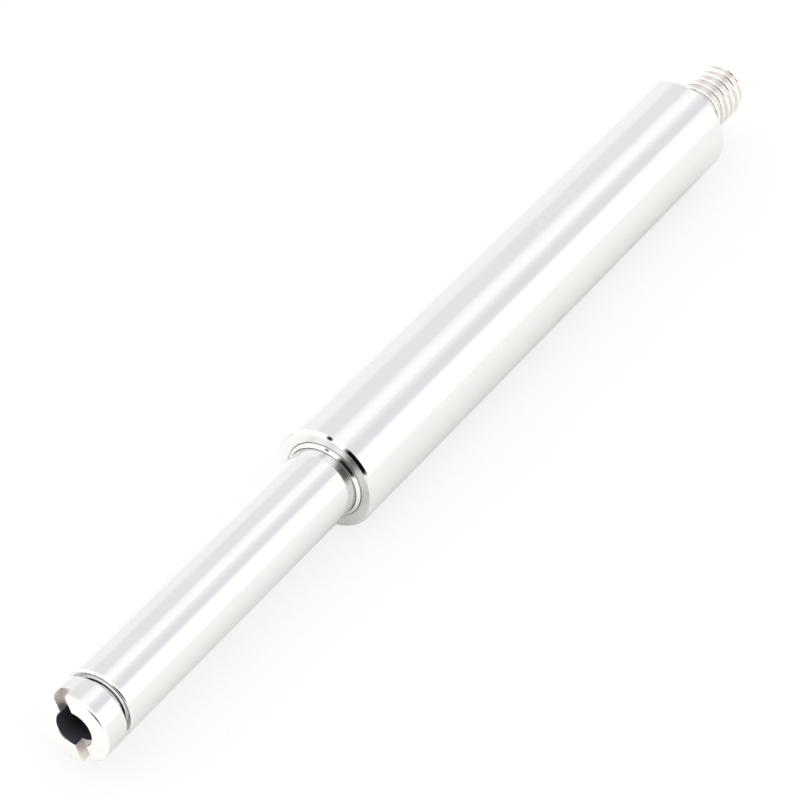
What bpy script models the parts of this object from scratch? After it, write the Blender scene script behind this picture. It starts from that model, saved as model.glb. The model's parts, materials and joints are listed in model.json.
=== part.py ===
"""Enclosed ball screw unit: a barrel, a sliding rod and a threaded drive stud on one long axis.

The axis is X, horizontal, and +X points to the nose of the rod. Places along it are counted from the
plane where the stud's thread comes to its full section; the model's X = 0 is the stud's free end.
Lengths are in millimetres up to the moment a vertex is made, when MM turns them into metres.
Angles about the axis are counted from +Y towards +Z, so a right-hand helix moves to +X as they grow.
"""
import math

import bmesh
import bpy
from mathutils import Matrix, Vector

MM = 0.001

# Driving dimensions, outside
BARREL_R = 8.25
ROD_R = 0.69 * BARREL_R
STUD_R = 4.7625
STUD_PITCH = 1.5875
STUD_END_X = -0.6
STUD_END_R = 3.9
STUD_THREAD_X = 1.0
STUD_THREAD_END_X = 11.4
REAR_X = 12.4
MOUTH_X = 115.15
NOSE_X = 175.6
REAR_CHAMFER = 0.8
MOUTH_CHAMFER = 0.45
SCRAPER_LIP = 0.55

# Driving dimensions, inside
BORE_R = 6.8
NECK_R = 6.3
NECK_X = 98.0
FIT = 0.06
GAP = 0.3
EDGE = 0.1
REAR_OPENING_R = 7.0
KEYWAY_X = 29.0
KEYWAY_END_X = 96.4
KEYWAY_R = 7.5
KEYWAY_W = 2.1
BUSH_END_X = 107.0
SEAL_X = 107.6
SEAL_END_X = 109.3
SEAL_R = 7.05
SEAL_LIP_R = 6.1
SCRAPER_X = 111.9
BUMPER_R = 6.7
BUMPER_BEVEL = 0.2
FRONT_BUMPER_X = 96.5
FRONT_BUMPER_BORE_R = 5.95
REAR_BUMPER_X = 24.7
REAR_BUMPER_BORE_R = 4.3
ROUND_SEGMENTS = 36
SMALL_SEGMENTS = 24

# Ball screw
LEAD = 4.0
SCREW_R = 3.0
SCREW_ROOT_R = 2.28
SCREW_SEGMENTS = 18
BALL_R = 0.8
BALL_CIRCLE_R = 3.15
TRACK_ROOT_HALF = 0.42
TRACK_EDGE_HALF = 0.97
BALLS_PER_CIRCUIT = 10
CIRCUITS = 2
NUT_X = 80.0
NUT_FACE_X = 92.2
NUT_END_X = 97.0
NUT_R = BORE_R - 0.1
NUT_BORE_R = 3.3
NUT_GROOVE_R = 4.08
NUT_SPIGOT_R = 4.7
TRACK_X = 83.0
SCREW_TURNS_BEHIND_NUT = 14
SCREW_CROSSINGS = 18
NUT_CROSSINGS = 3
TIP_BUSH_X = 101.4
TIP_X = 105.0
PIN_X = 95.2
PIN_ANGLE = math.pi / 2
PIN_R = 0.6
PIN_HOLE_R = 0.65
ROD_BORE_R = 4.0

# Support bearing
BEARING_X = 16.8
BEARING_W = 5.0
BEARING_BORE_R = 2.5
BEARING_OUT_R = 5.5
BEARING_PITCH_R = 4.0
BEARING_BALL_R = 1.0
BEARING_BALLS = 8
RACE_R = 1.08
HOUSING_END_X = 24.4
HUB_R = 4.0
HUB_END_X = 15.9
TAIL_R = 2.0
TAIL_END_X = 16.6
STEP_R = 3.2
SOCKET_X = 7.5
KEY_X = 9.6
KEY_END_X = 14.4
KEY_W = 1.0
KEY_LOW = 1.2
KEY_HIGH = 2.7
TIP_R = 2.0
CIRCLIP_X = 103.6
CIRCLIP_W = 0.6
CIRCLIP_SEAT_R = 1.65

# Nose
NOSE_HEAD_X = 171.2
ROD_END_X = 170.0
ROD_END_CHAMFER = 0.3
NOSE_ROUND = 0.6
NOSE_ROUND_FLAT = 0.18
NOSE_HOLE_R = 2.95
NOSE_HOLE_DEPTH = 12.0
SLOT_WIDTH = 2.15
SLOT_DEPTH = 1.7
SLOT_TILT = math.radians(22.7)

STEEL = ((0.78, 0.79, 0.80), 0.10, 1.0)
GROUND_STEEL = ((0.62, 0.63, 0.65), 0.25, 1.0)
DARK_STEEL = ((0.33, 0.34, 0.36), 0.35, 1.0)
BRONZE = ((0.66, 0.46, 0.24), 0.35, 1.0)
RUBBER = ((0.02, 0.02, 0.022), 0.60, 0.0)
POLYAMIDE = ((0.85, 0.82, 0.72), 0.50, 0.0)


def clear_scene():
    for obj in list(bpy.data.objects):
        bpy.data.objects.remove(obj, do_unlink=True)


def add_empty(name):
    empty = bpy.data.objects.new(name, None)
    bpy.context.collection.objects.link(empty)
    empty.empty_display_size = 10.0 * MM
    return empty


def make_material(name, finish):
    colour, roughness, metallic = finish
    material = bpy.data.materials.new(name)
    material.use_nodes = True
    shader = material.node_tree.nodes["Principled BSDF"]
    shader.inputs["Base Color"].default_value = (*colour, 1.0)
    shader.inputs["Roughness"].default_value = roughness
    shader.inputs["Metallic"].default_value = metallic
    return material


def finish_object(bm, name, finish, parent):
    """Turn a bmesh into a smooth-shaded object that hangs on its body's empty."""
    bmesh.ops.recalc_face_normals(bm, faces=bm.faces)
    mesh = bpy.data.meshes.new(name)
    bm.to_mesh(mesh)
    bm.free()
    mesh.shade_smooth()
    mesh.set_sharp_from_angle(angle=math.radians(30.0))
    mesh.materials.append(make_material(name, finish))
    obj = bpy.data.objects.new(name, mesh)
    bpy.context.collection.objects.link(obj)
    obj.parent = parent
    return obj


def place(x, y, z):
    """A point in the model's own frame, in metres."""
    return Vector((x - STUD_END_X, y, z)) * MM


def at(x, radius, angle):
    return place(x, radius * math.cos(angle), radius * math.sin(angle))


def add_ring(bm, x, radius, segments):
    """One ring of vertices about the axis, or a single vertex where the radius is 0."""
    if radius == 0.0:
        return [bm.verts.new(at(x, 0.0, 0.0))]
    return [bm.verts.new(at(x, radius, math.tau * i / segments)) for i in range(segments)]


def bridge(bm, ring_a, ring_b):
    """Join two rings with quads, or with a fan where one of them is a single vertex."""
    count = max(len(ring_a), len(ring_b))
    for i in range(count):
        j = (i + 1) % count
        if len(ring_a) == 1:
            bm.faces.new((ring_a[0], ring_b[j], ring_b[i]))
        elif len(ring_b) == 1:
            bm.faces.new((ring_a[i], ring_a[j], ring_b[0]))
        else:
            bm.faces.new((ring_a[i], ring_a[j], ring_b[j], ring_b[i]))


def bridge_profile(bm, profile, segments):
    """Rings for a run of (x, radius) points, each joined to the next. Returns the rings."""
    rings = [add_ring(bm, x, radius, segments) for x, radius in profile]
    for ring_a, ring_b in zip(rings, rings[1:]):
        bridge(bm, ring_a, ring_b)
    return rings


def make_turned_solid(name, profile, finish, parent, segments=ROUND_SEGMENTS):
    """A solid of revolution whose profile starts and ends on the axis."""
    bm = bmesh.new()
    bridge_profile(bm, profile, segments)
    return finish_object(bm, name, finish, parent)


def make_turned_ring(name, profile, finish, parent, segments=ROUND_SEGMENTS):
    """A ring of revolution whose profile closes on itself away from the axis."""
    bm = bmesh.new()
    rings = bridge_profile(bm, profile, segments)
    bridge(bm, rings[-1], rings[0])
    return finish_object(bm, name, finish, parent)


def make_split_ring(name, profile, opening, finish, parent, segments):
    """A retaining ring: a turned ring with an opening of the given angle, capped at both ends."""
    bm = bmesh.new()
    sections = []
    for i in range(segments + 1):
        angle = opening / 2 + (math.tau - opening) * i / segments
        sections.append([bm.verts.new(at(x, radius, angle)) for x, radius in profile])
    for section_a, section_b in zip(sections, sections[1:]):
        bridge(bm, section_a, section_b)
    bm.faces.new(sections[0])
    bm.faces.new(sections[-1])
    return finish_object(bm, name, finish, parent)


def add_helical_rows(bm, start_x, lead, shape, crossings, segments):
    """The rows of a helical groove: four per turn (edge, root, root, edge), each row one turn long.

    A row's end meets the start of the row four places on, so the rows make one continuous helix.
    """
    rows = []
    for turn in range(crossings):
        for offset, radius in shape:
            x = start_x + offset + lead * turn
            rows.append([bm.verts.new(at(x + lead * i / segments, radius, math.tau * i / segments))
                         for i in range(segments)])
    last = segments - 1
    for k in range(len(rows) - 1):
        for i in range(last):
            bm.faces.new((rows[k][i], rows[k][i + 1], rows[k + 1][i + 1], rows[k + 1][i]))
    for k in range(len(rows) - 5):
        bm.faces.new((rows[k][last], rows[k + 4][0], rows[k + 5][0], rows[k + 1][last]))
    bm.faces.new([rows[k][0] for k in range(4)])
    bm.faces.new([rows[k][last] for k in range(-4, 0)])
    return rows


def bridge_to_rows(bm, ring, rows):
    """Join a plain ring to the first row of a helical groove."""
    last = len(ring) - 1
    for i in range(last):
        bm.faces.new((ring[i], ring[i + 1], rows[0][i + 1], rows[0][i]))
    fan = [ring[last], ring[0], rows[0][0], rows[3][0], rows[4][0]]
    for vert_a, vert_b in zip(fan, fan[1:]):
        bm.faces.new((rows[0][last], vert_a, vert_b))


def bridge_from_rows(bm, rows, ring):
    """Join the last row of a helical groove to a plain ring."""
    last = len(ring) - 1
    for i in range(last):
        bm.faces.new((rows[-1][i], rows[-1][i + 1], ring[i + 1], ring[i]))
    fan = [rows[-5][last], rows[-4][last], rows[-1][last], ring[last], ring[0]]
    for vert_a, vert_b in zip(fan, fan[1:]):
        bm.faces.new((rows[-1][0], vert_a, vert_b))


def track_shape(land_r, root_r):
    """One lead of the ball track, from a groove's first edge to its last."""
    return ((0.0, land_r),
            (TRACK_EDGE_HALF - TRACK_ROOT_HALF, root_r),
            (TRACK_EDGE_HALF + TRACK_ROOT_HALF, root_r),
            (2 * TRACK_EDGE_HALF, land_r))


def thread_shape(major_r, pitch):
    """One pitch of a 60 degree thread with a flat crest and a flat root."""
    depth = 0.61 * pitch
    flank = depth * math.tan(math.radians(30.0))
    root = pitch * 7 / 8 - 2 * flank
    return ((0.0, major_r),
            (flank, major_r - depth),
            (flank + root, major_r - depth),
            (2 * flank + root, major_r))


def add_cutter(bm, name):
    bmesh.ops.recalc_face_normals(bm, faces=bm.faces)
    mesh = bpy.data.meshes.new(name)
    bm.to_mesh(mesh)
    bm.free()
    cutter = bpy.data.objects.new(name, mesh)
    bpy.context.collection.objects.link(cutter)
    cutter.hide_render = True
    cutter.display_type = "WIRE"
    return cutter


def box_bmesh(low, high, turn=0.0):
    """A box between two corners, turned about the axis."""
    bm = bmesh.new()
    size = Vector(high) - Vector(low)
    middle = (Vector(high) + Vector(low)) / 2
    matrix = (Matrix.Rotation(turn, 4, "X") @ Matrix.Translation(place(*middle))
              @ Matrix.Diagonal((*(size * MM), 1.0)))
    bmesh.ops.create_cube(bm, size=1.0, matrix=matrix)
    return bm


def add_radial_cylinder(bm, x, angle, low_r, high_r, radius, segments):
    """A cylinder that stands on the axis at the given angle, from low_r out to high_r."""
    matrix = (Matrix.Rotation(angle - math.pi / 2, 4, "X")
              @ Matrix.Translation(place(x, 0.0, (low_r + high_r) / 2)))
    bmesh.ops.create_cone(bm, cap_ends=True, segments=segments, radius1=radius * MM,
                          radius2=radius * MM, depth=(high_r - low_r) * MM, matrix=matrix)


def add_axial_cylinder(bm, low_x, high_x, offset, radius, segments):
    """A cylinder parallel to the axis, offset along +Y or -Y."""
    matrix = (Matrix.Translation(place((low_x + high_x) / 2, offset, 0.0))
              @ Matrix.Rotation(math.pi / 2, 4, "Y"))
    bmesh.ops.create_cone(bm, cap_ends=True, segments=segments, radius1=radius * MM,
                          radius2=radius * MM, depth=(high_x - low_x) * MM, matrix=matrix)


def cut(obj, bm, name):
    modifier = obj.modifiers.new(name, "BOOLEAN")
    modifier.operation = "DIFFERENCE"
    modifier.solver = "EXACT"
    modifier.object = add_cutter(bm, name)


def make_ball(name, x, circle_r, angle, radius, parent):
    bm = bmesh.new()
    centre = at(x, circle_r, angle)
    bmesh.ops.create_icosphere(bm, subdivisions=2, radius=radius * MM,
                               matrix=Matrix.Translation(centre))
    return finish_object(bm, name, GROUND_STEEL, parent)


def race_arc(middle_x, side, points=5):
    """Points of a bearing race between its two lands; side -1 is the inner ring, +1 the outer."""
    half = math.acos(0.65 / RACE_R)
    arc = []
    for i in range(points):
        swing = half * (2 * i / (points - 1) - 1)
        arc.append((middle_x + RACE_R * math.sin(swing),
                    BEARING_PITCH_R + side * RACE_R * math.cos(swing)))
    return arc


def make_barrel(body):
    seal_groove = ((SEAL_END_X + GAP, NECK_R), (SEAL_END_X + GAP, SEAL_R + EDGE),
                   (SEAL_X - GAP, SEAL_R + EDGE), (SEAL_X - GAP, NECK_R))
    profile = [(REAR_X, REAR_OPENING_R),
               (REAR_X, BARREL_R - REAR_CHAMFER),
               (REAR_X + REAR_CHAMFER, BARREL_R),
               (MOUTH_X - MOUTH_CHAMFER, BARREL_R),
               (MOUTH_X, BARREL_R - MOUTH_CHAMFER),
               (MOUTH_X, NECK_R + EDGE),
               (MOUTH_X - EDGE, NECK_R),
               *seal_groove,
               (NECK_X, NECK_R),
               (NECK_X, BORE_R),
               (REAR_X + REAR_OPENING_R - BORE_R, BORE_R)]
    barrel = make_turned_ring("barrel_tube", profile, STEEL, body)
    keyways = box_bmesh((KEYWAY_X, -KEYWAY_R, -KEYWAY_W / 2), (KEYWAY_END_X, KEYWAY_R, KEYWAY_W / 2))
    cut(barrel, keyways, "barrel_keyways")


def make_neck_parts(body):
    bush_x = NECK_X + GAP
    lip = 0.4
    make_turned_ring("guide_bush", [(bush_x, ROD_R + FIT), (bush_x, NECK_R - FIT),
                                    (BUSH_END_X, NECK_R - FIT), (BUSH_END_X, ROD_R + FIT)],
                     BRONZE, body)
    make_turned_ring("rod_seal", [(SEAL_X, SEAL_LIP_R), (SEAL_X, SEAL_R), (SEAL_END_X, SEAL_R),
                                  (SEAL_END_X, SEAL_LIP_R), (SEAL_END_X - lip, ROD_R + FIT),
                                  (SEAL_X + lip, ROD_R + FIT)], RUBBER, body)
    make_turned_ring("rod_scraper", [(SCRAPER_X, ROD_R + FIT), (SCRAPER_X, NECK_R - FIT),
                                     (MOUTH_X, NECK_R - FIT), (MOUTH_X + SCRAPER_LIP, ROD_R + FIT)],
                     STEEL, body)


def make_bumpers(body):
    """The two stop washers; the bevel of each is on the side that the nut reaches."""
    front_end_x = FRONT_BUMPER_X + 1.2
    rear_end_x = REAR_BUMPER_X + 1.0
    bevel_r = BUMPER_R - BUMPER_BEVEL
    make_turned_ring("front_bumper", [
        (FRONT_BUMPER_X, FRONT_BUMPER_BORE_R), (FRONT_BUMPER_X, bevel_r),
        (FRONT_BUMPER_X + BUMPER_BEVEL, BUMPER_R), (front_end_x, BUMPER_R),
        (front_end_x, FRONT_BUMPER_BORE_R)], POLYAMIDE, body)
    make_turned_ring("rear_bumper", [
        (REAR_BUMPER_X, REAR_BUMPER_BORE_R), (REAR_BUMPER_X, BUMPER_R),
        (rear_end_x - BUMPER_BEVEL, BUMPER_R), (rear_end_x, bevel_r),
        (rear_end_x, REAR_BUMPER_BORE_R)], POLYAMIDE, body)


def make_rear_parts(body):
    seal_seat_r = 5.3
    web_r = 4.6
    web_x = 15.3
    spanner_hole_y = 6.0
    seal_x = REAR_X + 0.4
    seal_end_x = web_x - GAP
    lip_x = 13.6
    lip_end_x = 14.2
    clamp_x = 22.1
    clamp_bore_r = 4.4
    housing = make_turned_ring("rear_housing", [
        (REAR_X, seal_seat_r), (REAR_X, BORE_R - FIT), (HOUSING_END_X, BORE_R - FIT),
        (HOUSING_END_X, BEARING_OUT_R + FIT), (BEARING_X - GAP, BEARING_OUT_R + FIT),
        (BEARING_X - GAP, web_r), (web_x, web_r), (web_x, seal_seat_r)], GROUND_STEEL, body)
    holes = bmesh.new()
    for offset in (-spanner_hole_y, spanner_hole_y):
        add_axial_cylinder(holes, REAR_X - 1.0, REAR_X + 1.5, offset, 0.4, 12)
    cut(housing, holes, "spanner_holes")
    make_turned_ring("shaft_seal", [
        (seal_x, HUB_R + 0.6), (seal_x, seal_seat_r - FIT), (seal_end_x, seal_seat_r - FIT),
        (seal_end_x, HUB_R + 0.5), (lip_end_x, HUB_R + FIT), (lip_x, HUB_R + FIT)],
        RUBBER, body, SMALL_SEGMENTS)
    make_turned_ring("bearing_clamp_ring", [
        (clamp_x, clamp_bore_r), (clamp_x, BEARING_OUT_R), (HOUSING_END_X - GAP, BEARING_OUT_R),
        (HOUSING_END_X - GAP, clamp_bore_r)], DARK_STEEL, body, SMALL_SEGMENTS)


def make_bearing(barrel_body, screw_body, cage_body):
    end_x = BEARING_X + BEARING_W
    middle_x = BEARING_X + BEARING_W / 2
    outer_race = race_arc(middle_x, 1)
    inner_race = race_arc(middle_x, -1)
    make_turned_ring("bearing_outer_ring", [
        (end_x, BEARING_OUT_R), (BEARING_X, BEARING_OUT_R), (BEARING_X, outer_race[0][1]),
        *outer_race, (end_x, outer_race[-1][1])], GROUND_STEEL, barrel_body, SMALL_SEGMENTS)
    make_turned_ring("bearing_inner_ring", [
        (end_x, BEARING_BORE_R), (BEARING_X, BEARING_BORE_R), (BEARING_X, inner_race[0][1]),
        *inner_race, (end_x, inner_race[-1][1])], GROUND_STEEL, screw_body,
        SMALL_SEGMENTS)
    cage = make_turned_ring("bearing_cage", [
        (middle_x, 3.6), (middle_x, 4.4), (end_x - GAP, 4.4), (end_x - GAP, 3.6)],
        POLYAMIDE, cage_body, SMALL_SEGMENTS)
    pockets = bmesh.new()
    for i in range(BEARING_BALLS):
        angle = math.tau * (i + 0.5) / BEARING_BALLS
        add_radial_cylinder(pockets, middle_x, angle, 3.0, 5.0, BEARING_BALL_R + 0.1, 16)
        make_ball(f"bearing_ball_{i + 1}", middle_x, BEARING_PITCH_R, angle, BEARING_BALL_R,
                  cage_body)
    cut(cage, pockets, "cage_pockets")


def make_drive_stud(body):
    """The threaded stud with its hub, bored from the front for the tail of the screw shaft."""
    bore_r = TAIL_R + FIT
    bm = bmesh.new()
    front = bridge_profile(bm, [(STUD_END_X, 0.0), (STUD_END_X, STUD_END_R), (STUD_THREAD_X, STUD_R)],
                           SMALL_SEGMENTS)
    rows = add_helical_rows(bm, STUD_THREAD_X + 0.1, STUD_PITCH, thread_shape(STUD_R, STUD_PITCH), 5,
                            SMALL_SEGMENTS)
    bridge_to_rows(bm, front[-1], rows)
    rest = bridge_profile(bm, [
        (STUD_THREAD_END_X - 0.3, STUD_R), (STUD_THREAD_END_X, HUB_R), (HUB_END_X, HUB_R),
        (HUB_END_X, STEP_R), (BEARING_X - GAP, STEP_R), (BEARING_X - GAP, bore_r),
        (SOCKET_X, bore_r), (SOCKET_X, 0.0)], SMALL_SEGMENTS)
    bridge_from_rows(bm, rows, rest[0])
    stud = finish_object(bm, "drive_stud", STEEL, body)
    keyway = box_bmesh((KEY_X - GAP, -KEY_W / 2 - FIT, 0.0),
                       (BEARING_X, KEY_W / 2 + FIT, KEY_HIGH + EDGE))
    cut(stud, keyway, "stud_keyway")


def make_screw(body):
    """The ball screw: tail, bearing journal, shoulder, rolled track and tip journal."""
    track_start = TRACK_X - LEAD * SCREW_TURNS_BEHIND_NUT - TRACK_EDGE_HALF
    tail_x = SOCKET_X + 0.5
    journal_r = BEARING_BORE_R - 0.05
    journal_end_x = BEARING_X + BEARING_W + GAP
    shoulder_r = 3.3
    shoulder_end_x = 23.6
    track_run_in_x = 25.5
    track_run_out_x = 100.2
    bm = bmesh.new()
    rear = bridge_profile(bm, [
        (tail_x, 0.0), (tail_x, TAIL_R - GAP), (tail_x + GAP, TAIL_R), (TAIL_END_X, TAIL_R),
        (TAIL_END_X, journal_r), (journal_end_x, journal_r), (journal_end_x, shoulder_r),
        (shoulder_end_x, shoulder_r), (shoulder_end_x + 0.2, SCREW_R), (track_run_in_x, SCREW_R)],
        SCREW_SEGMENTS)
    rows = add_helical_rows(bm, track_start, LEAD, track_shape(SCREW_R, SCREW_ROOT_R),
                            SCREW_CROSSINGS, SCREW_SEGMENTS)
    bridge_to_rows(bm, rear[-1], rows)
    front = bridge_profile(bm, [
        (track_run_out_x, SCREW_R), (track_run_out_x + 0.2, SCREW_R - 0.2),
        (track_run_out_x + 0.2, TIP_R), (CIRCLIP_X, TIP_R), (CIRCLIP_X, CIRCLIP_SEAT_R),
        (CIRCLIP_X + CIRCLIP_W, CIRCLIP_SEAT_R), (CIRCLIP_X + CIRCLIP_W, TIP_R),
        (TIP_X - GAP, TIP_R), (TIP_X, TIP_R - GAP), (TIP_X, 0.0)], SCREW_SEGMENTS)
    bridge_from_rows(bm, rows, front[0])
    screw = finish_object(bm, "screw_shaft", GROUND_STEEL, body)
    keyseat = box_bmesh((KEY_X - 0.2, -KEY_W / 2 - FIT, KEY_LOW - EDGE),
                        (KEY_END_X + 0.2, KEY_W / 2 + FIT, SCREW_R))
    cut(screw, keyseat, "tail_keyseat")
    key = box_bmesh((KEY_X, -KEY_W / 2, KEY_LOW), (KEY_END_X, KEY_W / 2, KEY_HIGH))
    finish_object(key, "drive_key", DARK_STEEL, body)


def make_tip_parts(body):
    """The bush that steadies the screw's tip inside the rod, and the ring that keeps it on."""
    bush_r = 3.9
    bevel = 0.2
    bush_end_x = CIRCLIP_X - GAP
    clip_x = CIRCLIP_X + 0.12
    clip_end_x = CIRCLIP_X + CIRCLIP_W - 0.12
    clip_bore_r = CIRCLIP_SEAT_R + 0.07
    clip_r = 2.7
    make_turned_ring("tip_bush", [
        (TIP_BUSH_X, TIP_R + FIT), (TIP_BUSH_X, bush_r - bevel), (TIP_BUSH_X + bevel, bush_r),
        (bush_end_x - bevel, bush_r), (bush_end_x, bush_r - bevel), (bush_end_x, TIP_R + FIT)],
        POLYAMIDE, body, SMALL_SEGMENTS)
    make_split_ring("tip_circlip", [(clip_x, clip_bore_r), (clip_x, clip_r), (clip_end_x, clip_r),
                                    (clip_end_x, clip_bore_r)],
                    math.radians(70.0), DARK_STEEL, body, 20)


def make_nut(body):
    """The ball nut: wiper seat, inner track, two insert pockets, two key slots, rod spigot."""
    wiper_seat_r = 4.6
    wiper_seat_x = 81.7
    outside_bevel = 0.3
    bm = bmesh.new()
    outside = bridge_profile(bm, [
        (wiper_seat_x, NUT_BORE_R), (wiper_seat_x, wiper_seat_r), (NUT_X, wiper_seat_r),
        (NUT_X, NUT_R - outside_bevel), (NUT_X + outside_bevel, NUT_R),
        (NUT_FACE_X - outside_bevel, NUT_R), (NUT_FACE_X, NUT_R - outside_bevel),
        (NUT_FACE_X, NUT_SPIGOT_R), (NUT_END_X, NUT_SPIGOT_R), (NUT_END_X, NUT_BORE_R)],
        SMALL_SEGMENTS)
    rows = add_helical_rows(bm, TRACK_X - TRACK_EDGE_HALF, LEAD,
                            track_shape(NUT_BORE_R, NUT_GROOVE_R), NUT_CROSSINGS, SMALL_SEGMENTS)
    bridge_to_rows(bm, outside[0], rows)
    bridge_from_rows(bm, rows, outside[-1])
    nut = finish_object(bm, "ball_nut", GROUND_STEEL, body)
    make_guide_keys(nut, body)
    make_return_inserts(nut, body)
    hole = bmesh.new()
    add_radial_cylinder(hole, PIN_X, PIN_ANGLE, NUT_BORE_R + 0.5, BARREL_R, PIN_HOLE_R, 12)
    cut(nut, hole, "spigot_pin_hole")
    make_turned_ring("nut_wiper", [
        (NUT_X + 0.2, SCREW_R + FIT), (NUT_X + 0.2, wiper_seat_r - FIT),
        (wiper_seat_x - GAP, wiper_seat_r - FIT), (wiper_seat_x - GAP, SCREW_R + FIT)],
        POLYAMIDE, body, SMALL_SEGMENTS)
    for i in range(CIRCUITS * BALLS_PER_CIRCUIT):
        turn = (i + 0.5) / BALLS_PER_CIRCUIT
        make_ball(f"nut_ball_{i + 1:02d}", TRACK_X + LEAD * turn, BALL_CIRCLE_R, math.tau * turn,
                  BALL_R, body)


def make_guide_keys(nut, body):
    """Two keys let into the nut's sides, which slide in the barrel's keyways."""
    key_x = 85.1
    key_end_x = 90.9
    key_w = 2.0
    key_low_y = 5.65
    key_high_y = 7.35
    slot_low_y = 5.5
    slack = 0.2
    slot_half = KEYWAY_W / 2
    for name, side in (("guide_key_left", 1), ("guide_key_right", -1)):
        slot_y = sorted((side * slot_low_y, side * BARREL_R))
        slot = box_bmesh((key_x - slack, slot_y[0], -slot_half), (key_end_x + slack, slot_y[1], slot_half))
        cut(nut, slot, name + "_slot")
        key_y = sorted((side * key_low_y, side * key_high_y))
        key = box_bmesh((key_x, key_y[0], -key_w / 2), (key_end_x, key_y[1], key_w / 2))
        finish_object(key, name, BRONZE, body)


def make_return_inserts(nut, body):
    """One insert for each circuit of balls, half a turn apart, each in its own round pocket."""
    insert_places = ((TRACK_X + 3.0, math.pi / 2), (TRACK_X + 5.0, -math.pi / 2))
    insert_r = 1.5
    low_r = 4.5
    high_r = 6.45
    slack = 0.1
    for i, (x, angle) in enumerate(insert_places, 1):
        pocket = bmesh.new()
        add_radial_cylinder(pocket, x, angle, low_r - 0.15, BARREL_R, insert_r + slack, 16)
        cut(nut, pocket, f"insert_pocket_{i}")
        insert = bmesh.new()
        add_radial_cylinder(insert, x, angle, low_r, high_r, insert_r, 16)
        finish_object(insert, f"return_insert_{i}", POLYAMIDE, body)


def make_rod(body):
    socket_r = NUT_SPIGOT_R + FIT
    rod = make_turned_ring("rod_tube", [
        (NUT_FACE_X + GAP, socket_r), (NUT_FACE_X + GAP, ROD_R), (ROD_END_X - ROD_END_CHAMFER, ROD_R),
        (ROD_END_X, ROD_R - ROD_END_CHAMFER), (ROD_END_X, ROD_BORE_R), (NUT_END_X + GAP, ROD_BORE_R),
        (NUT_END_X + GAP, socket_r)], STEEL, body)
    hole = bmesh.new()
    add_radial_cylinder(hole, PIN_X, PIN_ANGLE, ROD_BORE_R + 0.4, BARREL_R, PIN_HOLE_R, 12)
    cut(rod, hole, "rod_pin_hole")
    pin = bmesh.new()
    add_radial_cylinder(pin, PIN_X, PIN_ANGLE, ROD_BORE_R - 0.05, ROD_R - 0.15, PIN_R, 12)
    finish_object(pin, "rod_lock_pin", DARK_STEEL, body)


def make_nose(body):
    shank_x = 160.0
    shank_r = ROD_BORE_R - FIT
    shank_bevel = 0.4
    neck_r = 4.4
    hole_cone = 0.8
    slot_reach = 7.0
    floor_x = NOSE_X - NOSE_HOLE_DEPTH
    plug = make_turned_solid("nose_plug", [
        (shank_x, 0.0), (shank_x, shank_r - shank_bevel), (shank_x + shank_bevel, shank_r),
        (ROD_END_X + GAP, shank_r), (ROD_END_X + GAP, neck_r), (NOSE_HEAD_X, neck_r),
        (NOSE_HEAD_X, ROD_R - EDGE), (NOSE_HEAD_X + EDGE, ROD_R), (NOSE_X - NOSE_ROUND, ROD_R),
        (NOSE_X - NOSE_ROUND_FLAT, ROD_R - NOSE_ROUND_FLAT), (NOSE_X, ROD_R - NOSE_ROUND),
        (NOSE_X, NOSE_HOLE_R + EDGE), (NOSE_X - EDGE, NOSE_HOLE_R),
        (floor_x, NOSE_HOLE_R), (floor_x - hole_cone, 0.0)], STEEL, body)
    slot = box_bmesh((NOSE_X - SLOT_DEPTH, -SLOT_WIDTH / 2, -slot_reach),
                     (NOSE_X + 1.0, SLOT_WIDTH / 2, slot_reach), SLOT_TILT)
    cut(plug, slot, "nose_slot")


def main():
    clear_scene()
    barrel_body = add_empty("barrel_frame")
    cage_body = add_empty("cage_axis")
    screw_body = add_empty("screw_axis")
    rod_body = add_empty("rod_axis")
    make_barrel(barrel_body)
    make_neck_parts(barrel_body)
    make_bumpers(barrel_body)
    make_rear_parts(barrel_body)
    make_bearing(barrel_body, screw_body, cage_body)
    make_drive_stud(screw_body)
    make_screw(screw_body)
    make_tip_parts(screw_body)
    make_nut(rod_body)
    make_rod(rod_body)
    make_nose(rod_body)


main()
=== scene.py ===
"""Looks for the enclosed ball screw unit: polished steel pieces on a white studio floor.

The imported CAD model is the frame. Its axis is X, +X points to the nose of the rod, +Z is up.
Sizes are metres. Places come from the frame's boxes; MM only keeps small sizes readable.
"""
import json
import math

import bmesh
import bpy
import numpy as np
from mathutils import Matrix, Vector


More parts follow.
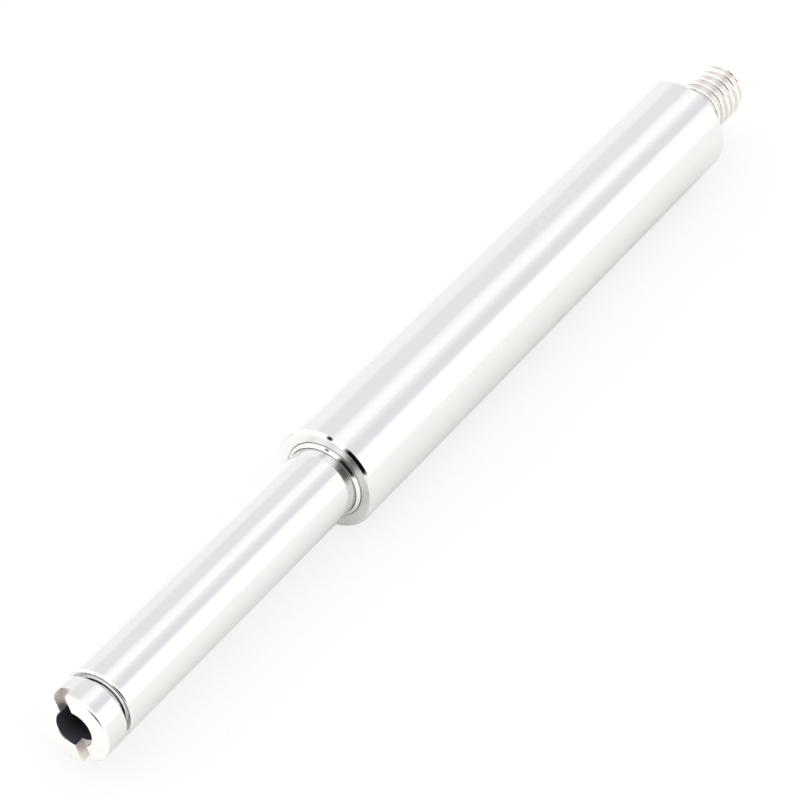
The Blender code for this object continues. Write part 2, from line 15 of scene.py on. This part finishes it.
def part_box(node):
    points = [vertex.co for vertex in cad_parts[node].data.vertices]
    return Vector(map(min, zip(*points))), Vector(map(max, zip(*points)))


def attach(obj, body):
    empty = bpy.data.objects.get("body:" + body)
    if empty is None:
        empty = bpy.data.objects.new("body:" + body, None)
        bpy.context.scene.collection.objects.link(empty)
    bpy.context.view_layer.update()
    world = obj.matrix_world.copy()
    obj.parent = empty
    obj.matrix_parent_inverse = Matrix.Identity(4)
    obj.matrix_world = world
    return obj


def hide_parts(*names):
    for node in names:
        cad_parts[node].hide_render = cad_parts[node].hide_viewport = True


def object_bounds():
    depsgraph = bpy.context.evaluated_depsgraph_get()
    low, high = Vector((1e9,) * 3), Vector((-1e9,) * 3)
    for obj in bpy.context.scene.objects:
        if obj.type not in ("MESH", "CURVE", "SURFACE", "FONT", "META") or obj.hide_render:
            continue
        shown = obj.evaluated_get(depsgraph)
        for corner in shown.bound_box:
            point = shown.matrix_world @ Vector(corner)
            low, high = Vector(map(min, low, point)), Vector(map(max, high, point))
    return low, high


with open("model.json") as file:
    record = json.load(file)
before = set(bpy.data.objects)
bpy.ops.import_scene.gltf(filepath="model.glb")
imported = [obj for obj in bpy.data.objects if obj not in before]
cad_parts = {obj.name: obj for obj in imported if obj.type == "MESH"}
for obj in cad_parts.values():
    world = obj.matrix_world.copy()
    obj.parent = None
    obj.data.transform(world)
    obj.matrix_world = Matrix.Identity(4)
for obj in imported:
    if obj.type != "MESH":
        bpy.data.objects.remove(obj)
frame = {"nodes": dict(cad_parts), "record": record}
CAD_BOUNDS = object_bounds()

MM = 0.001
SEGMENTS = 192
THREAD_ROWS_PER_PITCH = 22
FIT = 0.06 * MM
GAP = 0.3 * MM
EDGE = 0.1 * MM
HUB_R = 4.0 * MM
ROD_BORE_R = 4.0 * MM

BARREL_LOW, BARREL_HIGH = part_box("barrel_tube")
NOSE_LOW, NOSE_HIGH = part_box("nose_plug")
ROD_LOW, ROD_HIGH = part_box("rod_tube")
STUD_LOW, STUD_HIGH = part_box("drive_stud")
SCRAPER_LOW, SCRAPER_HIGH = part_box("rod_scraper")
HOUSING_LOW, HOUSING_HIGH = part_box("rear_housing")
SEAL_LOW, SEAL_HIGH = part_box("shaft_seal")
BARREL_R = BARREL_HIGH.z
ROD_R = ROD_HIGH.z
STUD_R = STUD_HIGH.z
REAR_X = BARREL_LOW.x
MOUTH_X = BARREL_HIGH.x
NOSE_X = NOSE_HIGH.x
FLOOR_Z = CAD_BOUNDS[0][2]

# Camera
CAMERA_ELEVATION = math.radians(40.07)
CAMERA_HEADING = math.radians(212.87)
CAMERA_DISTANCE = 0.57454
CAMERA_LENS = 180.2
SENSOR = 36.0
AIM_X = MOUTH_X - 0.45 * MM
AIM_RIGHT = 0.010605
AIM_UP = 0.011167


def camera_axes():
    """Right, up and forward of the camera, from its heading in the floor plane and its elevation."""
    level = Vector((math.cos(CAMERA_HEADING), math.sin(CAMERA_HEADING), 0.0))
    forward = level * math.cos(CAMERA_ELEVATION) - Vector((0, 0, 1)) * math.sin(CAMERA_ELEVATION)
    right = forward.cross(Vector((0, 0, 1))).normalized()
    return right, right.cross(forward), forward


def make_camera():
    right, up, forward = camera_axes()
    aim = Vector((AIM_X, 0.0, 0.0)) + right * AIM_RIGHT + up * AIM_UP
    camera = bpy.data.objects.new("camera", bpy.data.cameras.new("camera"))
    bpy.context.collection.objects.link(camera)
    camera.data.lens = CAMERA_LENS
    camera.data.sensor_width = SENSOR
    camera.data.clip_end = 20.0
    camera.data.clip_start = 0.01
    rotation = Matrix((right, up, -forward)).transposed().to_4x4()
    camera.matrix_world = Matrix.Translation(aim - forward * CAMERA_DISTANCE) @ rotation
    bpy.context.scene.camera = camera


class Nodes:
    """Short calls for building a node tree."""

    def __init__(self, tree):
        self.tree = tree

    def add(self, kind, **settings):
        node = self.tree.nodes.new(kind)
        for key, value in settings.items():
            setattr(node, key, value)
        return node

    def link(self, source, target):
        self.tree.links.new(source, target)

    def value(self, socket, item):
        """Put a constant or a link on an input."""
        if isinstance(item, bpy.types.NodeSocket):
            self.link(item, socket)
        else:
            socket.default_value = item

    def math(self, operation, a, b=None, clamp=False):
        node = self.add("ShaderNodeMath", operation=operation, use_clamp=clamp)
        self.value(node.inputs[0], a)
        if b is not None:
            self.value(node.inputs[1], b)
        return node.outputs[0]

    def ramp(self, factor, stops, interpolation="LINEAR"):
        node = self.add("ShaderNodeValToRGB")
        node.color_ramp.interpolation = interpolation
        elements = node.color_ramp.elements
        while len(elements) < len(stops):
            elements.new(0.5)
        for element, (position, colour) in zip(elements, stops):
            element.position = position
            element.color = (*colour, 1.0)
        self.link(factor, node.inputs[0])
        return node.outputs[0]

    def mix(self, factor, a, b):
        node = self.add("ShaderNodeMix", data_type="RGBA")
        self.value(node.inputs[0], factor)
        self.value(node.inputs[6], a)
        self.value(node.inputs[7], b)
        return node.outputs[2]

    def range(self, item, low, high, out_low, out_high):
        node = self.add("ShaderNodeMapRange")
        self.value(node.inputs[0], item)
        node.inputs[1].default_value = low
        node.inputs[2].default_value = high
        node.inputs[3].default_value = out_low
        node.inputs[4].default_value = out_high
        return node.outputs[0]


# Studio: long strips of light parallel to the unit, given by angle about X from straight up
# (degrees, positive towards +Y), with the brightness of the strip there.
STRIPS = ((-180, 1.25), (-91, 1.26), (-76, 1.30), (-57, 1.31), (-46, 1.16), (-18, 1.16), (-9, 1.40),
          (0, 1.48), (10, 1.47), (16, 1.29), (24, 1.17), (28, 1.12), (40, 1.12), (44, 1.28),
          (50, 1.60), (88, 1.60), (93, 1.42))
VIOLET_STRIP = (24, 44)
VIOLET = (0.995, 0.985, 1.03)
NEUTRAL = (1.0, 1.0, 0.998)
FRONT_LIGHT = (1.75, 1.75, 1.74, 1.0)
BACK_LIGHT = (1.2, 1.2, 1.2, 1.0)
DARK = (0.006, 0.005, 0.006, 1.0)


def heading(azimuth, elevation):
    """A direction, by its angle from +X towards +Y and its height in degrees."""
    level = math.cos(math.radians(elevation))
    return Vector((level * math.cos(math.radians(azimuth)), level * math.sin(math.radians(azimuth)),
                   math.sin(math.radians(elevation))))


def dark_disc(n, direction, light, centre, radius, fringe, fringe_colour):
    """A round dark place in the studio, with a soft edge."""
    dot = n.add("ShaderNodeVectorMath", operation="DOT_PRODUCT")
    n.link(direction, dot.inputs[0])
    dot.inputs[1].default_value = centre
    away = n.math("ARCCOSINE", dot.outputs["Value"])
    edge = n.range(away, math.radians(radius), math.radians(radius + fringe), 1.0, 0.0)
    light = n.mix(edge, light, fringe_colour)
    core = n.range(away, math.radians(radius - fringe), math.radians(radius), 1.0, 0.0)
    return n.mix(core, light, DARK)


def make_studio():
    world = bpy.data.worlds.new("studio")
    bpy.context.scene.world = world
    world.use_nodes = True
    tree = world.node_tree
    tree.nodes.clear()
    n = Nodes(tree)
    direction = n.add("ShaderNodeTexCoord").outputs["Generated"]
    split = n.add("ShaderNodeSeparateXYZ")
    n.link(direction, split.inputs[0])
    angle = n.math("ARCTAN2", split.outputs[1], split.outputs[2])
    turn = n.range(angle, -math.pi, math.pi, 0.0, 1.0)
    stops = []
    for degrees, level in STRIPS:
        tint = VIOLET if VIOLET_STRIP[0] < degrees < VIOLET_STRIP[1] else NEUTRAL
        stops.append(((degrees + 180) / 360, tuple(level * channel for channel in tint)))
    light = n.ramp(turn, stops)
    back = n.range(split.outputs[0], -0.95, -0.80, 1.0, 0.0)
    light = n.mix(back, light, BACK_LIGHT)
    front = n.range(split.outputs[0], -0.40, 0.05, 0.0, 1.0)
    light = n.mix(front, light, FRONT_LIGHT)
    light = dark_disc(n, direction, light, heading(34.0, 20.0), 23.0, 5.0, (0.42, 0.37, 0.30, 1.0))
    light = dark_disc(n, direction, light, heading(-22.0, 42.0), 5.0, 2.0, (0.5, 0.5, 0.5, 1.0))
    path = n.add("ShaderNodeLightPath")
    light = n.mix(path.outputs["Is Camera Ray"], light, (1.0, 1.0, 1.0, 1.0))
    background = n.add("ShaderNodeBackground")
    n.link(light, background.inputs["Color"])
    output = n.add("ShaderNodeOutputWorld")
    n.link(background.outputs[0], output.inputs[0])
    bpy.context.scene.view_settings.view_transform = "Standard"


def make_floor():
    """White paper. Seen directly it is as bright as its background, with only faint soft shadows."""
    size = 3.0
    bpy.ops.mesh.primitive_plane_add(size=size, location=(MOUTH_X, 0.0, FLOOR_Z))
    floor = bpy.context.object
    floor.name = "floor"
    material = bpy.data.materials.new("floor_paper")
    material.use_nodes = True
    n = Nodes(material.node_tree)
    paper = material.node_tree.nodes["Principled BSDF"]
    paper.inputs["Base Color"].default_value = (0.935, 0.94, 0.915, 1.0)
    paper.inputs["Roughness"].default_value = 0.9
    paper.inputs["Specular IOR Level"].default_value = 0.1
    shadowed = n.add("ShaderNodeBsdfDiffuse")
    shadowed.inputs["Color"].default_value = (0.165, 0.165, 0.168, 1.0)
    lit = n.add("ShaderNodeEmission")
    lit.inputs["Color"].default_value = (0.78, 0.78, 0.765, 1.0)
    both = n.add("ShaderNodeAddShader")
    n.link(shadowed.outputs[0], both.inputs[0])
    n.link(lit.outputs[0], both.inputs[1])
    seen = n.add("ShaderNodeMixShader")
    n.link(n.add("ShaderNodeLightPath").outputs["Is Camera Ray"], seen.inputs[0])
    n.link(paper.outputs[0], seen.inputs[1])
    n.link(both.outputs[0], seen.inputs[2])
    n.link(seen.outputs[0], material.node_tree.nodes["Material Output"].inputs["Surface"])
    floor.data.materials.append(material)


def noise(n, vector, scale, detail):
    texture = n.add("ShaderNodeTexNoise")
    texture.inputs["Scale"].default_value = scale
    texture.inputs["Detail"].default_value = detail
    n.link(vector, texture.inputs["Vector"])
    return texture.outputs[0]


def edge_mask(n, width):
    """1 on the edges of a piece and 0 on its faces: how far a rounded normal leans off the true one."""
    rounded = n.add("ShaderNodeBevel", samples=4)
    rounded.inputs["Radius"].default_value = width
    geometry = n.add("ShaderNodeNewGeometry")
    dot = n.add("ShaderNodeVectorMath", operation="DOT_PRODUCT")
    n.link(rounded.outputs[0], dot.inputs[0])
    n.link(geometry.outputs["Normal"], dot.inputs[1])
    return n.range(dot.outputs["Value"], 0.80, 0.99, 1.0, 0.0)


def metal_material(name, colour, roughness, grain, depth, stretch=(9000.0, 120.0, 120.0)):
    """Steel with a turned grain round the X axis, hazy patches, hairline scratches and worn edges."""
    material = bpy.data.materials.new(name)
    material.use_nodes = True
    n = Nodes(material.node_tree)
    shader = material.node_tree.nodes["Principled BSDF"]
    position = n.add("ShaderNodeTexCoord").outputs["Object"]
    patches = noise(n, position, 90.0, 4.0)
    turned = n.add("ShaderNodeMapping")
    turned.inputs["Scale"].default_value = stretch
    n.link(position, turned.inputs["Vector"])
    lines = noise(n, turned.outputs[0], 1.0, 3.0)
    slanted = n.add("ShaderNodeMapping")
    slanted.inputs["Rotation"].default_value = (0.4, 0.3, 0.9)
    slanted.inputs["Scale"].default_value = (60.0, 2600.0, 2600.0)
    n.link(position, slanted.inputs["Vector"])
    hairs = n.range(noise(n, slanted.outputs[0], 1.0, 2.0), 0.70, 0.76, 0.0, 1.0)
    edges = n.math("MULTIPLY", edge_mask(n, 0.15 * MM), n.range(patches, 0.35, 0.6, 0.2, 1.0))
    shade = n.ramp(patches, [(0.35, tuple(c * 0.985 for c in colour)), (0.65, colour)])
    worn = tuple(min(1.0, c * 1.12) for c in colour)
    n.link(n.mix(edges, shade, (*worn, 1.0)), shader.inputs["Base Color"])
    rough = n.range(patches, 0.3, 0.7, roughness * 0.85, roughness * 1.2)
    rough = n.math("ADD", rough, n.math("MULTIPLY", hairs, roughness * 0.5))
    rough = n.math("ADD", rough, n.math("MULTIPLY", edges, 0.08))
    n.link(rough, shader.inputs["Roughness"])
    shader.inputs["Metallic"].default_value = 1.0
    bump = n.add("ShaderNodeBump")
    bump.inputs["Strength"].default_value = grain
    bump.inputs["Distance"].default_value = depth
    n.link(n.math("SUBTRACT", lines, n.math("MULTIPLY", hairs, 0.3)), bump.inputs["Height"])
    n.link(bump.outputs[0], shader.inputs["Normal"])
    return material


def soft_material(name, colour, roughness, scale, strength):
    """Rubber or plastic with a fine moulded grain."""
    material = bpy.data.materials.new(name)
    material.use_nodes = True
    n = Nodes(material.node_tree)
    shader = material.node_tree.nodes["Principled BSDF"]
    coords = n.add("ShaderNodeTexCoord")
    grain = n.add("ShaderNodeTexNoise")
    grain.inputs["Scale"].default_value = scale
    grain.inputs["Detail"].default_value = 5.0
    n.link(coords.outputs["Object"], grain.inputs["Vector"])
    low = tuple(c * 0.8 for c in colour)
    shade = n.ramp(grain.outputs[0], [(0.35, low), (0.65, colour)])
    n.link(shade, shader.inputs["Base Color"])
    rough = n.range(grain.outputs[0], 0.3, 0.7, roughness * 0.85, roughness * 1.15)
    n.link(rough, shader.inputs["Roughness"])
    bump = n.add("ShaderNodeBump")
    bump.inputs["Strength"].default_value = strength
    bump.inputs["Distance"].default_value = 0.02 * MM
    n.link(grain.outputs[0], bump.inputs["Height"])
    n.link(bump.outputs[0], shader.inputs["Normal"])
    return material


def fillet(points, closed=True, steps=4):
    """Round the corners of an (x, radius, fillet) outline with arcs. A fillet of 0 keeps the corner."""
    outline = []
    count = len(points)
    for i, (x, radius, size) in enumerate(points):
        corner = np.array((x, radius), float)
        if size == 0.0 or (not closed and i in (0, count - 1)):
            outline.append((x, radius))
            continue
        to_last = np.array(points[i - 1][:2]) - corner
        to_next = np.array(points[(i + 1) % count][:2]) - corner
        to_last /= np.linalg.norm(to_last)
        to_next /= np.linalg.norm(to_next)
        half = math.acos(np.clip(to_last @ to_next, -1, 1)) / 2
        reach = size / math.tan(half)
        centre = corner + (to_last + to_next) / np.linalg.norm(to_last + to_next) * size / math.sin(half)
        start = corner + to_last * reach - centre
        end = corner + to_next * reach - centre
        for k in range(steps + 1):
            blend = k / steps
            swing = math.pi - 2 * half
            arc = (math.sin((1 - blend) * swing) * start + math.sin(blend * swing) * end) / math.sin(swing)
            outline.append(tuple(centre + arc))
    return outline


def add_ring(bm, x, radius, segments):
    if radius == 0.0:
        return [bm.verts.new((x, 0.0, 0.0))]
    turns = (math.tau * i / segments for i in range(segments))
    return [bm.verts.new((x, radius * math.cos(a), radius * math.sin(a))) for a in turns]


def bridge(bm, ring_a, ring_b):
    count = max(len(ring_a), len(ring_b))
    for i in range(count):
        j = (i + 1) % count
        if len(ring_a) == 1:
            bm.faces.new((ring_a[0], ring_b[j], ring_b[i]))
        elif len(ring_b) == 1:
            bm.faces.new((ring_a[i], ring_a[j], ring_b[0]))
        else:
            bm.faces.new((ring_a[i], ring_a[j], ring_b[j], ring_b[i]))


def add_rings(bm, outline, segments):
    rings = [add_ring(bm, x, radius, segments) for x, radius in outline]
    for ring_a, ring_b in zip(rings, rings[1:]):
        bridge(bm, ring_a, ring_b)
    return rings


def finish_mesh(bm, name, sharp_degrees=25.0):
    bmesh.ops.recalc_face_normals(bm, faces=bm.faces)
    mesh = bpy.data.meshes.new(name)
    bm.to_mesh(mesh)
    bm.free()
    mesh.shade_smooth()
    mesh.set_sharp_from_angle(angle=math.radians(sharp_degrees))
    piece = bpy.data.objects.new(name, mesh)
    bpy.context.collection.objects.link(piece)
    return piece


def turned_ring(name, outline, segments=SEGMENTS):
    bm = bmesh.new()
    rings = add_rings(bm, outline, segments)
    bridge(bm, rings[-1], rings[0])
    return finish_mesh(bm, name)


def thread_radius(x, angle, major, depth, pitch, start, end, run):
    """Radius of a right-hand thread at a point, with the thread fading out over run at each end."""
    phase = (x / pitch - angle / math.tau) % 1.0
    crest = 0.22
    root = 0.12
    flank = (1.0 - crest - root) / 2
    off_crest = max(0.0, abs(phase - 0.5) - crest / 2)
    level = min(1.0, off_crest / flank)
    level = level * level * (3 - 2 * level) * 0.35 + level * 0.65
    fade = min(1.0, max(0.0, min((x - start) / run, (end - x) / run)))
    return major - depth * level * fade


def add_thread_rings(bm, x_low, x_high, rows, segments, radius_at):
    """Rings of a threaded stretch; each vertex takes its radius from radius_at(x, angle)."""
    rings = []
    for row in range(rows + 1):
        x = x_low + (x_high - x_low) * row / rows
        ring = []
        for i in range(segments):
            angle = math.tau * i / segments
            radius = radius_at(x, angle)
            ring.append(bm.verts.new((x, radius * math.cos(angle), radius * math.sin(angle))))
        rings.append(ring)
    for ring_a, ring_b in zip(rings, rings[1:]):
        bridge(bm, ring_a, ring_b)
    return rings


def dress(piece, material, body, node):
    """Put a material on a piece, hang it on the empty of the body it rides on, and hide the CAD solid it
    covers.
    """
    piece.data.materials.append(material)
    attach(piece, body)
    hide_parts(node)


def turn_end(piece, turned, lean):
    """Give the faces that look along +X, within the given lean, the duller finish of a turned end."""
    slot = len(piece.data.materials)
    piece.data.materials.append(turned)
    for face in piece.data.polygons:
        if face.normal.x > math.cos(math.radians(lean)):
            face.material_index = slot


def make_barrel(steel, turned):
    chamfer = 0.45 * MM
    rear_chamfer = 0.8 * MM
    neck_r = 6.3 * MM
    opening_r = 7.0 * MM
    inner_r = 6.8 * MM
    bush_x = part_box("guide_bush")[0].x - GAP
    seal_low, seal_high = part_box("rod_seal")
    groove_r = seal_high.z + EDGE
    outline = fillet([
        (REAR_X, opening_r, 0.0),
        (REAR_X, BARREL_R - rear_chamfer, 0.12 * MM),
        (REAR_X + rear_chamfer, BARREL_R, 0.2 * MM),
        (MOUTH_X - chamfer, BARREL_R, 0.05 * MM),
        (MOUTH_X, BARREL_R - chamfer, 0.05 * MM),
        (MOUTH_X, neck_r + EDGE, 0.03 * MM),
        (MOUTH_X - EDGE, neck_r, 0.0),
        (seal_high.x + GAP, neck_r, 0.0), (seal_high.x + GAP, groove_r, 0.0),
        (seal_low.x - GAP, groove_r, 0.0), (seal_low.x - GAP, neck_r, 0.0),
        (bush_x, neck_r, 0.0), (bush_x, inner_r, 0.0),
        (REAR_X + opening_r - inner_r, inner_r, 0.0)])
    barrel = turned_ring("barrel", outline)
    dress(barrel, steel, "barrel", "barrel_tube")
    turn_end(barrel, turned, 20.0)


def make_scraper(steel):
    """The steel ring pressed in the mouth; its lip stands proud of the barrel and wipes the rod."""
    bore_r = ROD_R + FIT
    outer_r = SCRAPER_HIGH.z
    edge = 0.05 * MM
    outline = fillet([
        (SCRAPER_LOW.x, bore_r, 0.0), (SCRAPER_LOW.x, outer_r, edge), (MOUTH_X + edge, outer_r, edge),
        (SCRAPER_HIGH.x - edge, bore_r + edge, edge), (SCRAPER_HIGH.x - 2 * edge, bore_r, 0.0)])
    dress(turned_ring("scraper", outline), steel, "barrel", "rod_scraper")


def make_housing(steel):
    """The bearing housing, seen from behind as a disc with two spanner holes."""
    seat_r = 5.3 * MM
    web_r = 4.6 * MM
    web_x = SEAL_HIGH.x + GAP
    bearing_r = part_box("bearing_outer_ring")[1].z + FIT
    shoulder_x = STUD_HIGH.x
    hole_r = 0.4 * MM
    hole_depth = 1.5 * MM
    hole_y = 6.0 * MM
    hole_segments = 32
    outline = fillet([
        (HOUSING_LOW.x, seat_r, 0.15 * MM), (HOUSING_LOW.x, HOUSING_HIGH.z, 0.12 * MM),
        (HOUSING_HIGH.x, HOUSING_HIGH.z, 0.1 * MM), (HOUSING_HIGH.x, bearing_r, 0.1 * MM),
        (shoulder_x, bearing_r, 0.0), (shoulder_x, web_r, 0.0), (web_x, web_r, 0.0),
        (web_x, seat_r, 0.0)])
    housing = turned_ring("housing", outline)
    for side in (-1, 1):
        bm = bmesh.new()
        matrix = (Matrix.Translation((HOUSING_LOW.x, side * hole_y, 0.0))
                  @ Matrix.Rotation(math.pi / 2, 4, "Y"))
        bmesh.ops.create_cone(bm, cap_ends=True, segments=hole_segments, radius1=hole_r, radius2=hole_r,
                              depth=2 * hole_depth, matrix=matrix)
        cut(housing, bm)
    apply_modifiers(housing)
    dress(housing, steel, "barrel", "rear_housing")


def make_seal(rubber):
    """The shaft seal with its lip against the hub."""
    lip_x = SEAL_LOW.x + 0.8 * MM
    lip_end_x = SEAL_LOW.x + 1.4 * MM
    outline = fillet([
        (SEAL_LOW.x, HUB_R + 0.6 * MM, 0.1 * MM), (SEAL_LOW.x, SEAL_HIGH.z, 0.1 * MM),
        (SEAL_HIGH.x, SEAL_HIGH.z, 0.05 * MM), (SEAL_HIGH.x, HUB_R + 0.5 * MM, 0.05 * MM),
        (lip_end_x, HUB_R + FIT, 0.05 * MM), (lip_x, HUB_R + FIT, 0.05 * MM)])
    dress(turned_ring("seal", outline), rubber, "barrel", "shaft_seal")


def make_rod(steel):
    edge = 0.45 * MM
    socket_r = 4.76 * MM
    socket_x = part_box("ball_nut")[1].x + GAP
    outline = fillet([
        (ROD_LOW.x, socket_r, 0.0), (ROD_LOW.x, ROD_R, 0.05 * MM), (ROD_HIGH.x, ROD_R, edge),
        (ROD_HIGH.x, ROD_BORE_R, 0.0), (socket_x, ROD_BORE_R, 0.0), (socket_x, socket_r, 0.0)], steps=6)
    dress(turned_ring("rod", outline), steel, "rod", "rod_tube")


def make_nose(steel, painted_shade_bore, turned, milled):
    neck_x = ROD_HIGH.x + GAP
    head_x = ROD_HIGH.x + 1.2 * MM
    neck_r = 4.4 * MM
    shank_r = ROD_BORE_R - FIT
    edge = 0.6 * MM
    hole_r = 2.95 * MM
    floor_x = NOSE_X - 12.0 * MM
    bm = bmesh.new()
    outside = fillet([
        (NOSE_LOW.x, 0.0, 0.0), (NOSE_LOW.x, shank_r, 0.3 * MM), (neck_x, shank_r, 0.0),
        (neck_x, neck_r, 0.0), (head_x, neck_r, 0.0), (head_x, ROD_R, 0.12 * MM),
        (NOSE_X, ROD_R, edge), (NOSE_X, hole_r + EDGE, 0.03 * MM), (NOSE_X - EDGE, hole_r, 0.0),
        (floor_x, hole_r, 0.0), (floor_x - 0.8 * MM, 0.0, 0.0)], closed=False, steps=8)
    add_rings(bm, outside, SEGMENTS)
    nose = finish_mesh(bm, "nose")
    nose.data.materials.append(steel)
    nose.data.materials.append(painted_shade_bore)
    turn_end(nose, turned, 62.0)
    # Faces inside the hole get the near-black material, which paints the shade of the deep hole; the
    # shoulder faces get the turned finish.
    for face in nose.data.polygons:
        off_axis = math.hypot(face.center.y, face.center.z)
        if face.center.x > NOSE_LOW.x + MM and off_axis < hole_r + 0.01 * MM:
            face.material_index = 1
        elif neck_x < face.center.x < head_x and off_axis < ROD_R - edge:
            face.material_index = 2
    cut_slot(nose, milled)
    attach(nose, "rod")
    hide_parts("nose_plug")


def cut_slot(nose, milled):
    """The milled slot across the nose, with its edges broken."""
    width = 2.15 * MM
    depth = 1.7 * MM
    reach = 14.0 * MM
    tilt = math.radians(22.7)
    bm = bmesh.new()
    matrix = (Matrix.Rotation(tilt, 4, "X") @ Matrix.Translation((NOSE_X, 0.0, 0.0))
              @ Matrix.Diagonal((2 * depth, width, reach, 1.0)))
    bmesh.ops.create_cube(bm, size=1.0, matrix=matrix)
    cut(nose, bm, milled)
    bevel = nose.modifiers.new("edges", "BEVEL")
    bevel.width = 0.06 * MM
    bevel.segments = 2
    bevel.limit_method = "ANGLE"
    bevel.angle_limit = math.radians(40.0)
    apply_modifiers(nose)


def cut(piece, bm, material=None):
    """Take a shape away from a piece; with a material, the cut faces get it."""
    cutter = finish_mesh(bm, "cutter")
    modifier = piece.modifiers.new("cut", "BOOLEAN")
    modifier.operation = "DIFFERENCE"
    modifier.solver = "EXACT"
    modifier.object = cutter
    if material:
        cutter.data.materials.append(material)
        modifier.material_mode = "TRANSFER"


def apply_modifiers(piece):
    """Turn the modifiers into plain mesh and remove the cutters that they used."""
    graph = bpy.context.evaluated_depsgraph_get()
    mesh = bpy.data.meshes.new_from_object(piece.evaluated_get(graph))
    cutters = [modifier.object for modifier in piece.modifiers if modifier.type == "BOOLEAN"]
    piece.modifiers.clear()
    piece.data = mesh
    mesh.shade_smooth()
    mesh.set_sharp_from_angle(angle=math.radians(35.0))
    for cutter in cutters:
        bpy.data.objects.remove(cutter)


def make_stud(steel):
    """The drive stud: a rolled thread that starts in a cone, then the plain hub."""
    pitch = 1.5875 * MM
    depth = 0.61 * pitch
    hub_end_x = STUD_HIGH.x - 0.6 * MM
    thread_end = REAR_X - 1.0 * MM
    end_r = 3.9 * MM
    cone_length = 1.6 * MM
    end_edge = 0.15 * MM
    bore_r = 2.0 * MM + FIT
    step_r = 3.2 * MM
    socket_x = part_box("screw_shaft")[0].x - 0.5 * MM

    def radius_at(x, angle):
        thread = thread_radius(x, angle, STUD_R, depth, pitch, -pitch, thread_end, 0.6 * MM)
        cone = end_r + (STUD_R - end_r) * (x - STUD_LOW.x) / cone_length
        return min(thread, cone)

    bm = bmesh.new()
    rows = int(thread_end / pitch * THREAD_ROWS_PER_PITCH)
    thread_x = STUD_LOW.x + end_edge
    thread = add_thread_rings(bm, thread_x, thread_end, rows, SEGMENTS, radius_at)
    end_face = add_rings(bm, [(STUD_LOW.x, 0.0), (STUD_LOW.x, end_r - 2 * end_edge),
                              (STUD_LOW.x + 0.3 * end_edge, end_r - 0.8 * end_edge)], SEGMENTS)
    bridge(bm, end_face[-1], thread[0])
    rest = add_rings(bm, [(thread_end + EDGE, HUB_R), (hub_end_x, HUB_R), (hub_end_x, step_r),
                          (STUD_HIGH.x, step_r), (STUD_HIGH.x, bore_r), (socket_x, bore_r),
                          (socket_x, 0.0)], SEGMENTS)
    bridge(bm, thread[-1], rest[0])
    dress(finish_mesh(bm, "stud", 50.0), steel, "screw", "drive_stud")


def make_finishes():
    """One material for each of the record's slots."""
    return {
        "polished_steel": metal_material("polished_steel", (0.67, 0.67, 0.67), 0.07, 0.06, 0.002 * MM),
        "ground_steel": metal_material("ground_steel", (0.56, 0.56, 0.57), 0.22, 0.25, 0.006 * MM),
        "dark_steel": metal_material("dark_steel", (0.20, 0.20, 0.21), 0.35, 0.2, 0.006 * MM),
        "bronze": metal_material("bearing_bronze", (0.66, 0.46, 0.24), 0.32, 0.25, 0.008 * MM),
        "seal_rubber": soft_material("seal_rubber", (0.02, 0.02, 0.022), 0.55, 2500.0, 0.4),
        "polyamide": soft_material("polyamide", (0.85, 0.82, 0.72), 0.45, 1800.0, 0.3)}


def dress_inner_nodes(finishes):
    """Give every CAD node its finish, by the slot that the record gives it."""
    for subpart in frame["record"]["subparts"]:
        node = frame["nodes"][subpart["node"]]
        node.data.materials.clear()
        node.data.materials.append(finishes[subpart["material_slot"]])


def main():
    make_camera()
    make_studio()
    make_floor()
    finishes = make_finishes()
    dress_inner_nodes(finishes)
    steel = finishes["polished_steel"]
    # Inside of the drilled hole: rougher steel with a near-black colour that paints the shade deep in the
    # hole.
    painted_shade_bore = metal_material("drilled_steel_painted_shade", (0.115, 0.115, 0.135), 0.50, 0.4, 0.01 * MM)
    turned = metal_material("turned_steel", (0.78, 0.78, 0.77), 0.27, 0.25, 0.005 * MM)
    milled = metal_material("milled_steel", (0.74, 0.70, 0.68), 0.42, 0.3, 0.005 * MM, (300, 6000, 300))
    stud_steel = metal_material("stud_steel", (0.78, 0.75, 0.725), 0.16, 0.2, 0.004 * MM)
    make_barrel(steel, turned)
    make_scraper(metal_material("scraper_steel", (0.74, 0.72, 0.70), 0.13, 0.15, 0.003 * MM))
    make_housing(finishes["ground_steel"])
    make_seal(finishes["seal_rubber"])
    make_rod(steel)
    make_nose(steel, painted_shade_bore, turned, milled)
    make_stud(stud_steel)


main()
